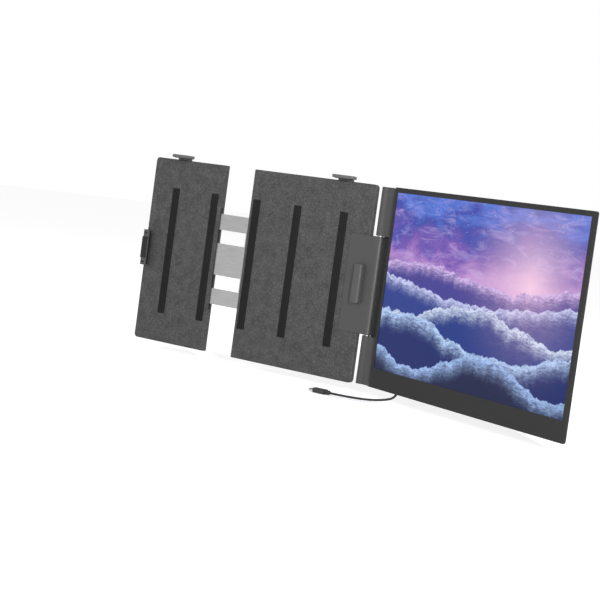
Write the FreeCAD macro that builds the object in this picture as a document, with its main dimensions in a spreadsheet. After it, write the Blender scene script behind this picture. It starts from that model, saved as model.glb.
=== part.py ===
import FreeCAD, Part
import math
import os
import Sketcher
from FreeCAD import Vector

# Laptop screen extender: a two-part bracket that grips a laptop lid from behind,
# and a portable monitor that swings on it about an upright hinge.
# X runs to the right as the user sees it, Y away from the user, Z up the lid.
# The origin is on the pad that rests against the middle of the lid's back.

os.makedirs("parts", exist_ok=True)
doc = FreeCAD.newDocument("screen_extender")
sheet = doc.addObject("Spreadsheet::Sheet", "Sizes")

# Driving sizes in millimetres, angles in degrees
SIZES = [
    # the lid that the bracket grips
    ("lid_half_width", 177.5),
    ("lid_thickness", 5.0),
    # bracket halves
    ("bracket_height", 247.6),
    ("bracket_depth", 8.0),
    ("pad_thickness", 1.0),
    ("pad_width", 12.0),
    ("pad_length", 170.0),
    ("front_skin", 1.6),
    ("cover_thickness", 2.6),
    ("edge_wall", 6.0),
    ("corner_round", 5.0),
    ("edge_bevel", 1.0),
    ("centre_overlap", 10.0),
    ("rest_gap", 50.0),
    # slide between the halves
    ("tongue_height", 120.0),
    ("tongue_thickness", 2.0),
    ("tongue_reach", 125.0),
    ("tongue_root", 45.0),
    ("slide_clearance", 0.3),
    ("spring_radius", 1.4),
    ("spring_lane", 8.0),
    ("tooth_reach", 2.5),
    ("tooth_width", 3.0),
    ("slot_height", 18.0),
    ("slot_wall", 3.0),
    ("guide_length", 12.0),
    ("guide_inset", 6.0),
    ("boss_inset", 12.0),
    ("spring_length", 82.0),
    ("post_radius", 1.2),
    # top hooks
    ("hook_inset", 42.5),
    ("hook_width", 30.0),
    ("hook_leg_width", 24.0),
    ("hook_leg_margin", 6.6),
    ("hook_slot_margin", 4.0),
    ("hook_thickness", 2.0),
    ("hook_raise", 2.8),
    ("hook_overhang", 1.2),
    ("shelf_thickness", 3.2),
    ("hook_pad_thickness", 0.8),
    # side clamps
    ("clamp_height", 48.0),
    ("clamp_lip", 2.0),
    ("clamp_reach", 4.0),
    ("clamp_wall", 6.2),
    ("clamp_round", 3.4),
    ("liner_thickness", 0.7),
    ("liner_inset", 1.0),
    ("side_margin", 0.1),
    # hinge
    ("hinge_offset", 12.95),
    ("barrel_radius", 5.0),
    ("block_height", 122.0),
    ("block_width", 28.0),
    ("block_chamfer", 4.0),
    ("shaft_radius", 2.5),
    ("shaft_clearance", 0.05),
    ("shaft_seat", 22.0),
    ("shaft_reach", 44.0),
    ("washer_thickness", 1.0),
    ("washer_gap", 0.1),
    ("washer_step", 0.6),
    ("seat_slack", 0.2),
    ("spine_gap", 0.7),
    ("spine_thickness", 1.6),
    ("spine_start", 2.0),
    ("spine_bend", 5.0),
    # kickstand on the back
    ("stand_centre", 85.0),
    ("stand_width", 92.0),
    ("stand_foot_margin", 23.8),
    ("stand_pivot_z", 12.0),
    ("stand_thickness", 2.2),
    ("stand_clearance", 0.4),
    ("stand_pin_radius", 0.6),
    ("stand_pin_reach", 3.8),
    # monitor
    ("swing_angle", 19.64),
    ("face_ahead", 4.5),
    ("panel_start", 24.5),
    ("active_width", 344.7),
    ("active_height", 215.4),
    ("bezel_left", 5.0),
    ("bezel_right", 6.0),
    ("bezel_top", 6.0),
    ("chin", 24.0),
    ("monitor_top", 123.5),
    ("monitor_depth", 8.0),
    ("bezel_depth", 1.6),
    ("side_depth", 4.0),
    ("panel_inset", 0.6),
    ("panel_thickness", 1.2),
    ("panel_border", 2.0),
    ("backlight_thickness", 2.0),
    ("monitor_wall", 1.5),
    ("taper_inset", 9.0),
    ("monitor_corner", 3.0),
    ("knuckle_inset", 1.0),
    ("leaf_start", 5.5),
    ("leaf_reach", 30.0),
    ("leaf_margin", 8.0),
    ("leaf_slack", 2.0),
    ("leaf_thickness", 1.4),
    # electronics at the monitor's back
    ("bump_left", 50.0),
    ("bump_width", 180.0),
    ("bump_bottom", -79.0),
    ("bump_height", 96.0),
    ("bump_depth", 7.5),
    ("bump_wall", 1.4),
    ("bump_round", 5.0),
    ("port_first", 73.6),
    ("port_pitch", 20.0),
    ("port_line", 3.6),
    ("port_half_width", 4.2),
    ("port_half_depth", 1.3),
    ("port_wall", 0.3),
    ("port_fit", 0.1),
    ("wide_port_extra", 1.4),
    ("wide_port_shift", 3.0),
    ("port_length", 7.0),
    ("board_thickness", 1.4),
    ("board_inset", 8.0),
    ("chip_thickness", 1.0),
    ("switch_half_width", 2.5),
    ("switch_length", 4.0),
    ("speaker_room", 20.0),
    ("speaker_width", 11.0),
    ("speaker_length", 18.0),
    ("speaker_inset", 5.0),
    ("button_first", 150.0),
    ("button_pitch", 12.0),
    ("button_radius", 1.9),
    ("button_flange", 0.5),
    ("flange_thickness", 0.9),
    ("button_length", 4.0),
    ("button_proud", 1.0),
    ("button_travel", 0.7),
    # lead
    ("lead_radius", 1.4),
    ("plug_half_width", 5.4),
    ("plug_half_depth", 3.0),
    ("plug_length", 16.0),
    ("plug_gap", 0.4),
    ("relief_radius", 2.4),
    ("relief_length", 6.0),
    ("lead_drop", 24.1),
    ("lead_sag", 6.5),
    ("lead_fall", 30.3),
    ("lead_across", 64.65),
    ("lead_forward", 53.2),
    # screws
    ("screw_radius", 1.3),
    ("screw_length", 3.6),
    ("screw_inset", 6.0),
    ("screw_edge", 8.0),
]
for row, (alias, value) in enumerate(SIZES, start=1):
    sheet.set("A%d" % row, alias)
    sheet.set("B%d" % row, str(value))
    sheet.setAlias("B%d" % row, alias)
doc.recompute()

# Sizes that follow from the driving ones
DERIVED = {
    "half_width": "(lid_half_width + liner_thickness + clamp_wall + side_margin)",
    "hinge_x": "(half_width + hinge_offset)",
    "hinge_y": "barrel_radius",
    "hook_centre": "(lid_half_width - hook_inset)",
    "hook_leg_length": "(shelf_z - tongue_height / 2 - spring_lane - hook_leg_margin)",
    "shelf_z": "(bracket_height / 2 + hook_raise)",
    "stand_length": "(bracket_height / 2 + stand_pivot_z - stand_foot_margin)",
}
WORDS = [alias for alias, value in SIZES]
NODES = []


def size(name):
    """Value of a driving or a derived size."""
    return evaluate(sheet, name)


def bind(text):
    """Turn a formula in size names into an expression on the sheet."""
    out = ""
    word = ""
    for letter in str(text) + " ":
        if letter.isalpha() or letter == "_":
            word += letter
            continue
        if word in WORDS:
            out += "Sizes." + word
        elif word in DERIVED:
            out += bind(DERIVED[word])
        else:
            out += word
        word = ""
        out += letter
    return out.strip()


def new_body(label):
    body = doc.addObject("PartDesign::Body", label)
    body.Label = label
    NODES.append(body)
    return body


def hang_on_monitor(body):
    """Place a body that is drawn in the monitor's own frame: X from the hinge
    axis along the screen, Y from the bezel's face to the back."""
    body.setExpression("Placement.Base.x", bind("hinge_x - face_ahead * sin(swing_angle)"))
    body.setExpression("Placement.Base.y", bind("hinge_y - face_ahead * cos(swing_angle)"))
    body.Placement.Rotation = FreeCAD.Rotation(Vector(0, 0, 1), 1)
    body.setExpression("Placement.Rotation.Angle", bind("-swing_angle"))


def block(body, name, low, high, cut=False):
    """A box between two corners given as formulas."""
    kind = "PartDesign::SubtractiveBox" if cut else "PartDesign::AdditiveBox"
    box = body.newObject(kind, name)
    for side, axis, start, end in zip(("Length", "Width", "Height"), "xyz", low, high):
        box.setExpression(side, bind("(%s) - (%s)" % (end, start)))
        box.setExpression("Placement.Base." + axis, bind(start))
    return box


TURNS = {
    "x": FreeCAD.Rotation(Vector(0, 1, 0), 90),
    "y": FreeCAD.Rotation(Vector(1, 0, 0), -90),
    "z": FreeCAD.Rotation(),
}


def rod(body, name, along, radius, length, start, cut=False):
    """A round bar or hole from a start point along an axis."""
    kind = "PartDesign::SubtractiveCylinder" if cut else "PartDesign::AdditiveCylinder"
    bar = body.newObject(kind, name)
    bar.Placement.Rotation = TURNS[along]
    bar.setExpression("Radius", bind(radius))
    bar.setExpression("Height", bind(length))
    for axis, place in zip("xyz", start):
        bar.setExpression("Placement.Base." + axis, bind(place))
    return bar


def origin_plane(body, role):
    for feature in body.Origin.OriginFeatures:
        if feature.Role == role:
            return feature


def outline(body, name, role, height, corners):
    """A closed sketch through corners given as formulas. A corner with a third
    entry starts an arc of that signed radius, positive to the left of its chord."""
    sketch = body.newObject("Sketcher::SketchObject", name)
    sketch.AttachmentSupport = [(origin_plane(body, role), "")]
    sketch.MapMode = "FlatFace"
    sketch.setExpression("AttachmentOffset.Base.z", bind(height))
    doc.recompute()
    values = [tuple(evaluate(sketch, part) for part in corner) for corner in corners]
    count = len(corners)
    for index in range(count):
        start = Vector(values[index][0], values[index][1], 0)
        following = values[(index + 1) % count]
        end = Vector(following[0], following[1], 0)
        if len(corners[index]) == 3:
            radius = values[index][2]
            chord = end.sub(start)
            side = Vector(-chord.y, chord.x, 0).normalize()
            rise = abs(radius) - max(radius ** 2 - (chord.Length / 2) ** 2, 0) ** 0.5
            middle = (start + end) * 0.5 + side * (rise if radius > 0 else -rise)
            sketch.addGeometry(Part.Arc(start, middle, end), False)
        else:
            sketch.addGeometry(Part.LineSegment(start, end), False)
    ends = []
    for index, corner in enumerate(corners):
        edge = sketch.Geometry[index]
        begin = Vector(values[index][0], values[index][1], 0)
        forward = edge.StartPoint.distanceToPoint(begin) < 1e-6
        ends.append((1, 2) if forward else (2, 1))
    for index, corner in enumerate(corners):
        following = (index + 1) % count
        sketch.addConstraint(
            Sketcher.Constraint("Coincident", index, ends[index][1], following, ends[following][0]))
        for word, part in (("DistanceX", 0), ("DistanceY", 1)):
            number = sketch.addConstraint(
                Sketcher.Constraint(word, -1, 1, index, ends[index][0], values[index][part]))
            sketch.setExpression("Constraints[%d]" % number, bind(corner[part]))
        if len(corner) == 3 and is_half_circle(values[index], values[following]):
            number = sketch.addConstraint(
                Sketcher.Constraint("DistanceX", -1, 1, index, 3, values[index][0]))
            sketch.setExpression("Constraints[%d]" % number, bind(corner[0]))
        elif len(corner) == 3:
            number = sketch.addConstraint(Sketcher.Constraint("Radius", index, abs(values[index][2])))
            sketch.setExpression("Constraints[%d]" % number, bind("abs(%s)" % corner[2]))
    doc.recompute()
    return sketch


def is_half_circle(start, end):
    """True where an arc's chord is its diameter. Such arcs here stand upright in
    their sketch, so the centre is held level with the chord instead."""
    chord = ((start[0] - end[0]) ** 2 + (start[1] - end[1]) ** 2) ** 0.5
    return abs(chord - 2 * abs(start[2])) < 1e-6


def evaluate(holder, formula):
    result = holder.evalExpression(bind(formula))
    return float(getattr(result, "Value", result))


def pad(body, name, sketch, length):
    feature = body.newObject("PartDesign::Pad", name)
    feature.Profile = sketch
    feature.setExpression("Length", bind(length))
    return feature


def round_edges(body, name, choose, radius):
    """Fillet the edges of the body's last feature that choose() accepts."""
    doc.recompute()
    base = body.Tip
    names = ["Edge%d" % (i + 1) for i, edge in enumerate(base.Shape.Edges) if choose(edge)]
    fillet = body.newObject("PartDesign::Fillet", name)
    fillet.Base = (base, names)
    fillet.setExpression("Radius", bind(radius))
    return fillet


def bevel_edges(body, name, choose, setback):
    """Chamfer the edges of the body's last feature that choose() accepts."""
    doc.recompute()
    base = body.Tip
    names = ["Edge%d" % (i + 1) for i, edge in enumerate(base.Shape.Edges) if choose(edge)]
    chamfer = body.newObject("PartDesign::Chamfer", name)
    chamfer.Base = (base, names)
    chamfer.setExpression("Size", bind(setback))
    return chamfer


def straight(edge, along):
    if not isinstance(edge.Curve, (Part.Line, Part.LineSegment)):
        return False
    run = edge.Vertexes[0].Point.sub(edge.Vertexes[-1].Point)
    run.normalize()
    return abs(run.dot(along)) > 0.999


ALONG_X = Vector(1, 0, 0)
ALONG_Y = Vector(0, 1, 0)
ALONG_Z = Vector(0, 0, 1)

# Shared formulas
FRONT = "pad_thickness"
BACK = "(pad_thickness + bracket_depth)"
SEAM = "(pad_thickness + bracket_depth - cover_thickness)"
TOP = "bracket_height / 2"
TONGUE_FRONT = "(pad_thickness + front_skin + slide_clearance)"
TONGUE_BACK = "(pad_thickness + front_skin + slide_clearance + tongue_thickness)"
BLOCK_START = "(half_width - block_width)"
LEFT_MOUTH = "(-centre_overlap - rest_gap)"
HOOK_SLOT = "(hook_leg_width / 2 + slide_clearance)"
SPRING_Z = "(tongue_height / 2 + spring_lane / 2)"
SPRING_START = "(edge_wall + 2 * post_radius - half_width)"
LIP_BACK = "(lid_thickness + liner_thickness)"
MONITOR_END = "(panel_start + bezel_left + active_width + bezel_right)"
MONITOR_FOOT = "(monitor_top - bezel_top - active_height - chin)"
ACTIVE_LEFT = "(panel_start + bezel_left)"
ACTIVE_RIGHT = "(panel_start + bezel_left + active_width)"
ACTIVE_TOP = "(monitor_top - bezel_top)"
ACTIVE_FOOT = "(monitor_top - bezel_top - active_height)"
KNUCKLE_START = "(block_height / 2 + washer_thickness + 2 * washer_gap)"
BUMP_BACK = "(monitor_depth + bump_depth)"
PORT_Y = "(monitor_depth + port_line)"
BOARD_Y = "(monitor_depth + port_line - port_half_depth - port_wall - board_thickness)"


def lid_frame_rect(left, right, foot, top):
    return [(left, foot), (right, foot), (right, top), (left, top)]


def upright_corner(edge, places):
    """True for an edge along Y that lies at one of the (x, z) places."""
    if not straight(edge, ALONG_Y):
        return False
    point = edge.Vertexes[0].Point
    return any(abs(point.x - x) < 0.01 and abs(point.z - z) < 0.01 for x, z in places)


def right_outline():
    inner = "(-centre_overlap)"
    return [
        (inner, "-bracket_height / 2"),
        ("half_width", "-bracket_height / 2"),
        ("half_width", "-block_height / 2"),
        (BLOCK_START, "-block_height / 2"),
        (BLOCK_START, "block_height / 2"),
        ("half_width", "block_height / 2"),
        ("half_width", TOP),
        (inner, TOP),
    ]


def left_outline():
    return lid_frame_rect("-half_width", LEFT_MOUTH, "-bracket_height / 2", TOP)


def screw_places(side):
    """Screw centres of one bracket half as (x, z) formulas."""
    if side > 0:
        columns = ("(screw_inset - centre_overlap)", "(hook_centre - hook_leg_width)",
                   "(half_width - screw_inset)")
    else:
        columns = ("(%s - screw_inset)" % LEFT_MOUTH, "(screw_inset - half_width)")
    return [(x, "(%d * (bracket_height / 2 - screw_edge))" % end) for x in columns for end in (-1, 1)]


def cut_screw_holes(body, side, back, depth):
    for index, (x, z) in enumerate(screw_places(side)):
        rod(body, "screw_hole_%d" % index, "y", "screw_radius + shaft_clearance", depth,
            (x, "%s - (%s)" % (back, depth), z), cut=True)


def bracket_housing(side):
    """Front shell of one half, with its slide channel, spring posts and hook slot."""
    name = "right" if side > 0 else "left"
    body = new_body(name + "_housing")
    corners = right_outline() if side > 0 else left_outline()
    sketch = outline(body, name + "_housing_outline", "XZ_Plane", "-" + SEAM, corners)
    pad(body, name + "_housing_pad", sketch, "%s - %s" % (SEAM, FRONT))
    outer = side * size("half_width")
    reach = size("bracket_height") / 2
    places = [(outer, reach), (outer, -reach)]
    round_edges(body, name + "_corners", lambda edge: upright_corner(edge, places), "corner_round")
    front = size("pad_thickness")
    doc.recompute()
    bevel_edges(body, name + "_front_edges", lambda edge: on_front_rim(edge, outer, front), "edge_bevel")
    channel_front = "(pad_thickness + front_skin)"
    if side > 0:
        ends = ("-centre_overlap - 1", "tongue_root + slide_clearance")
        half = "(tongue_height / 2 + slide_clearance)"
    else:
        ends = ("edge_wall - half_width", LEFT_MOUTH + " + 1")
        half = "(tongue_height / 2 + spring_lane)"
    block(body, name + "_channel", (ends[0], channel_front, "-" + half), (ends[1], SEAM, half), cut=True)
    for end in (-1, 1):
        word = "upper" if end > 0 else "lower"
        if side > 0:
            post = ("2 * post_radius", "tongue_root - boss_inset", "%d * tongue_height / 3" % end)
        else:
            post = ("post_radius", "%s - post_radius - shaft_clearance" % SPRING_START,
                    "%d * %s" % (end, SPRING_Z))
        rod(body, "%s_%s_post" % (name, word), "y", post[0], "%s - %s" % (SEAM, channel_front),
            (post[1], channel_front, post[2]))
        if side < 0:
            centre = "%d * tongue_height / 4" % end
            block(body, word + "_guide_block",
                  (LEFT_MOUTH + " - guide_inset - guide_length", channel_front,
                   "%s - slot_height / 2 + slide_clearance" % centre),
                  (LEFT_MOUTH + " - guide_inset", SEAM, "%s + slot_height / 2 - slide_clearance" % centre))
    centre = "%d * hook_centre" % side
    block(body, name + "_hook_slot",
          ("%s - %s" % (centre, HOOK_SLOT), channel_front, "shelf_z - hook_leg_length - hook_slot_margin"),
          ("%s + %s" % (centre, HOOK_SLOT), TONGUE_BACK + " + slide_clearance", TOP + " + 1"),
          cut=True)
    cut_screw_holes(body, side, SEAM, "screw_length + 2 * seat_slack - cover_thickness")
    return body


def on_front_rim(edge, outer, front):
    """Edges of the front face along the outer side, its corners, the top and the foot."""
    middle = edge.BoundBox.Center
    if edge.BoundBox.YLength > 0.01 or abs(middle.y - front) > 0.01:
        return False
    reach = size("bracket_height") / 2
    rounded = size("corner_round")
    at_end = abs(middle.z) > reach - rounded
    at_side = abs(middle.x - outer) < rounded and edge.BoundBox.ZLength > rounded
    return at_end or at_side


def rear_cover(side):
    """Back shell of one half; the right one has the recess for the kickstand."""
    name = "right" if side > 0 else "left"
    body = new_body(name + "_rear_cover")
    corners = right_outline() if side > 0 else left_outline()
    sketch = outline(body, name + "_cover_outline", "XZ_Plane", "-" + BACK, corners)
    pad(body, name + "_cover_pad", sketch, "cover_thickness")
    outer = side * size("half_width")
    reach = size("bracket_height") / 2
    places = [(outer, reach), (outer, -reach)]
    round_edges(body, name + "_cover_corners", lambda edge: upright_corner(edge, places), "corner_round")
    back = size("pad_thickness") + size("bracket_depth")
    bevel_edges(body, name + "_back_edges", lambda edge: on_front_rim(edge, outer, back), "edge_bevel")
    cut_screw_holes(body, side, BACK, "cover_thickness")
    if side > 0:
        half = "(stand_width / 2 + stand_clearance)"
        block(body, "stand_recess",
              ("stand_centre - " + half, SEAM, "stand_pivot_z - stand_length - stand_clearance"),
              ("stand_centre + " + half, BACK, "stand_pivot_z + stand_thickness / 2 + stand_clearance"),
              cut=True)
        rod(body, "stand_finger_notch", "y", "stand_width / 8", "cover_thickness",
            ("stand_centre", SEAM, "stand_pivot_z - stand_length"), cut=True)
        rod(body, "stand_pin_seat", "x", "stand_pin_radius + shaft_clearance",
            "stand_width + 2 * (stand_pin_reach + seat_slack)",
            ("stand_centre - stand_width / 2 - stand_pin_reach - seat_slack", STAND_Y, "stand_pivot_z"),
            cut=True)
    return body


STAND_Y = "(pad_thickness + bracket_depth - cover_thickness / 2)"


def bracket_screws(side):
    name = "right" if side > 0 else "left"
    body = new_body(name + "_bracket_screws")
    for index, (x, z) in enumerate(screw_places(side)):
        rod(body, "%s_screw_%d" % (name, index), "y", "screw_radius", "screw_length",
            (x, "%s - screw_length - seat_slack" % BACK, z))
    return body


def slide_tongue():
    """Steel plate fixed in the right half; the left half runs on it."""
    body = new_body("slide_tongue")
    block(body, "tongue_plate", ("-tongue_reach", TONGUE_FRONT, "-tongue_height / 2"),
          ("tongue_root", TONGUE_BACK, "tongue_height / 2"))
    for end in (-1, 1):
        word = "upper" if end > 0 else "lower"
        rod(body, word + "_boss_hole", "y", "2 * post_radius + shaft_clearance", "tongue_thickness",
            ("tongue_root - boss_inset", TONGUE_FRONT, "%d * tongue_height / 3" % end), cut=True)
        block(body, word + "_spring_tooth",
              (SPRING_START + " + spring_length - tooth_width", TONGUE_FRONT,
               "%d * tongue_height / 2 - tooth_reach" % end),
              (SPRING_START + " + spring_length", TONGUE_BACK, "%d * tongue_height / 2 + tooth_reach" % end))
        centre = "%d * tongue_height / 4" % end
        block(body, word + "_guide_slot",
              ("slot_wall - tongue_reach", TONGUE_FRONT, centre + " - slot_height / 2"),
              ("-centre_overlap - slot_wall", TONGUE_BACK, centre + " + slot_height / 2"), cut=True)
    return body


def clamp_springs():
    """The two tension springs that close the bracket, hidden in the left half beside
    the tongue, as plain bars of the coil's outer size."""
    body = new_body("clamp_springs")
    for end in (-1, 1):
        rod(body, "spring_%s" % ("upper" if end > 0 else "lower"), "x", "spring_radius", "spring_length",
            (SPRING_START, TONGUE_FRONT + " + spring_radius", "%d * %s" % (end, SPRING_Z)))
    return body


def lid_pads(side):
    """Silicone strips on the front face that the lid's back rests on."""
    name = "right" if side > 0 else "left"
    body = new_body(name + "_lid_pads")
    inner = "0" if side > 0 else "(%s - pad_width)" % LEFT_MOUTH
    centres = [inner, "%d * (hook_centre + pad_width / 2)" % side]
    if side > 0:
        centres.insert(1, "hook_centre / 2")
    for index, centre in enumerate(centres):
        block(body, "%s_pad_%d" % (name, index),
              ("%s - pad_width / 2" % centre, "0", "-pad_length / 2"),
              ("%s + pad_width / 2" % centre, FRONT, "pad_length / 2"))
    return body


def top_hook(side):
    """Sliding hook that rests on the lid's top edge."""
    name = "right" if side > 0 else "left"
    body = new_body(name + "_top_hook")
    centre = "%d * hook_centre" % side
    block(body, name + "_hook_shelf",
          (centre + " - hook_width / 2", "-lid_thickness - hook_overhang", "shelf_z"),
          (centre + " + hook_width / 2", TONGUE_BACK, "shelf_z + shelf_thickness"))
    block(body, name + "_hook_leg",
          (centre + " - hook_leg_width / 2", TONGUE_FRONT, "shelf_z - hook_leg_length"),
          (centre + " + hook_leg_width / 2", TONGUE_BACK, "shelf_z + shelf_thickness / 2"))
    front = -size("lid_thickness") - size("hook_overhang")
    round_edges(body, name + "_hook_corners",
                lambda edge: straight(edge, ALONG_Z) and abs(edge.Vertexes[0].Point.y - front) < 0.01,
                "hook_width / 12")
    return body


def hook_pad(side):
    name = "right" if side > 0 else "left"
    body = new_body(name + "_hook_pad")
    centre = "%d * hook_centre" % side
    block(body, name + "_hook_pad_block",
          (centre + " - hook_width * 0.4", "-lid_thickness", "shelf_z - hook_pad_thickness"),
          (centre + " + hook_width * 0.4", "-hook_pad_thickness / 2", "shelf_z"))
    return body


def side_clamp(side):
    """J-shaped jaw round the lid's side edge."""
    name = "right" if side > 0 else "left"
    body = new_body(name + "_side_clamp")
    seat = "0" if side > 0 else FRONT
    tip = "%d * (lid_half_width - clamp_reach)" % side
    inside = "%d * (lid_half_width + liner_thickness)" % side
    outside = "%d * (lid_half_width + liner_thickness + clamp_wall)" % side
    face = "-(lid_thickness + liner_thickness + clamp_lip)"
    sketch = outline(body, name + "_clamp_profile", "XY_Plane", "-clamp_height / 2",
                     [(tip, face), (outside, face), (outside, seat), (inside, seat),
                      (inside, "-" + LIP_BACK), (tip, "-" + LIP_BACK)])
    pad(body, name + "_clamp_pad", sketch, "clamp_height")
    far = evaluate(sketch, outside)
    ahead = evaluate(sketch, face)
    round_edges(body, name + "_clamp_shoulder",
                lambda edge: straight(edge, ALONG_Z)
                and abs(edge.Vertexes[0].Point.x - far) < 0.01
                and abs(edge.Vertexes[0].Point.y - ahead) < 0.01,
                "clamp_round")
    return body


def clamp_liner(side):
    """Silicone lining on the inside of a side clamp."""
    name = "right" if side > 0 else "left"
    body = new_body(name + "_clamp_liner")
    seat = "0" if side > 0 else FRONT
    tip = "%d * (lid_half_width - clamp_reach + liner_thickness)" % side
    wall = "%d * lid_half_width" % side
    inside = "%d * (lid_half_width + liner_thickness)" % side
    sketch = outline(body, name + "_liner_profile", "XY_Plane", "liner_inset - clamp_height / 2",
                     [(tip, "-" + LIP_BACK), (inside, "-" + LIP_BACK), (inside, seat), (wall, seat),
                      (wall, "-lid_thickness"), (tip, "-lid_thickness")])
    pad(body, name + "_liner_pad", sketch, "clamp_height - 2 * liner_inset")
    return body


def hinge_block():
    """Middle knuckle of the hinge, with the block that fastens it to the bracket."""
    body = new_body("hinge_block")
    front = "(hinge_y - barrel_radius)"
    back = "(hinge_y + barrel_radius)"
    sketch = outline(body, "hinge_block_profile", "XY_Plane", "-block_height / 2",
                     [(BLOCK_START, front), ("hinge_x", front, "-barrel_radius"), ("hinge_x", back),
                      ("half_width - block_chamfer", BACK), (BLOCK_START, BACK)])
    pad(body, "hinge_block_pad", sketch, "block_height")
    for end in (-1, 1):
        start = "block_height / 2 - shaft_seat" if end > 0 else "-block_height / 2"
        rod(body, "shaft_seat_%s" % ("top" if end > 0 else "foot"), "z",
            "shaft_radius + shaft_clearance", "shaft_seat", ("hinge_x", "hinge_y", start), cut=True)
    return body


def hinge_shafts():
    body = new_body("hinge_shafts")
    for end in (-1, 1):
        start = "block_height / 2 - shaft_seat + seat_slack"
        if end < 0:
            start = "-block_height / 2 - shaft_reach"
        rod(body, "shaft_%s" % ("top" if end > 0 else "foot"), "z", "shaft_radius",
            "shaft_seat + shaft_reach - seat_slack", ("hinge_x", "hinge_y", start))
    return body


def friction_washers():
    body = new_body("friction_washers")
    for end in (-1, 1):
        start = "block_height / 2 + washer_gap"
        if end < 0:
            start = "-block_height / 2 - washer_gap - washer_thickness"
        word = "top" if end > 0 else "foot"
        rod(body, "washer_" + word, "z", "barrel_radius - washer_step", "washer_thickness",
            ("hinge_x", "hinge_y", start))
        rod(body, "washer_bore_" + word, "z", "shaft_radius + shaft_clearance", "washer_thickness",
            ("hinge_x", "hinge_y", start), cut=True)
    return body


def kickstand():
    """Fold-out leg, shown folded into the back of the right half."""
    body = new_body("kickstand")
    half = "stand_width / 2"
    block(body, "stand_plate",
          ("stand_centre - " + half, STAND_Y + " - stand_thickness / 2", "stand_pivot_z - stand_length"),
          ("stand_centre + " + half, STAND_Y + " + stand_thickness / 2", "stand_pivot_z"))
    round_edges(body, "stand_foot_corners", is_stand_foot, "corner_round")
    rod(body, "stand_roll", "x", "stand_thickness / 2", "stand_width",
        ("stand_centre - " + half, STAND_Y, "stand_pivot_z"))
    rod(body, "stand_bore", "x", "stand_pin_radius + shaft_clearance", "stand_width",
        ("stand_centre - " + half, STAND_Y, "stand_pivot_z"), cut=True)
    return body


def is_stand_foot(edge):
    foot = size("stand_pivot_z") - size("stand_length")
    return straight(edge, ALONG_Y) and abs(edge.Vertexes[0].Point.z - foot) < 0.01


def stand_pin():
    body = new_body("stand_pin")
    rod(body, "stand_pin_bar", "x", "stand_pin_radius", "stand_width + 2 * stand_pin_reach",
        ("stand_centre - stand_width / 2 - stand_pin_reach", STAND_Y, "stand_pivot_z"))
    return body


def front_bezel():
    """Monitor's front frame, with the deep chin and the rebate that holds the panel."""
    body = new_body("front_bezel")
    hang_on_monitor(body)
    sketch = outline(body, "bezel_outline", "XZ_Plane", "-bezel_depth",
                     lid_frame_rect("panel_start", MONITOR_END, MONITOR_FOOT, "monitor_top"))
    pad(body, "bezel_pad", sketch, "bezel_depth")
    round_edges(body, "bezel_corners", is_monitor_corner, "monitor_corner")
    block(body, "bezel_window", (ACTIVE_LEFT, "-1", ACTIVE_FOOT),
          (ACTIVE_RIGHT, "bezel_depth + 1", ACTIVE_TOP), cut=True)
    block(body, "panel_rebate",
          (ACTIVE_LEFT + " - panel_border - seat_slack", "panel_inset",
           ACTIVE_FOOT + " - panel_border - seat_slack"),
          (ACTIVE_RIGHT + " + panel_border + seat_slack", "bezel_depth + 1",
           ACTIVE_TOP + " + panel_border + seat_slack"), cut=True)
    return body


def is_monitor_corner(edge):
    far = size("panel_start") + size("bezel_left") + size("active_width") + size("bezel_right")
    return straight(edge, ALONG_Y) and abs(edge.Vertexes[0].Point.x - far) < 0.01


def display_panel():
    body = new_body("display_panel")
    hang_on_monitor(body)
    block(body, "panel_sheet",
          (ACTIVE_LEFT + " - panel_border", "panel_inset", ACTIVE_FOOT + " - panel_border"),
          (ACTIVE_RIGHT + " + panel_border", "panel_inset + panel_thickness",
           ACTIVE_TOP + " + panel_border"))
    return body


def backlight():
    body = new_body("backlight")
    hang_on_monitor(body)
    start = "panel_inset + panel_thickness"
    block(body, "backlight_sheet",
          (ACTIVE_LEFT + " - panel_border", start, ACTIVE_FOOT + " - panel_border"),
          (ACTIVE_RIGHT + " + panel_border", start + " + backlight_thickness - slide_clearance",
           ACTIVE_TOP + " + panel_border"))
    return body


LEAF_FRONT = "(panel_inset + panel_thickness + backlight_thickness)"


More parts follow.
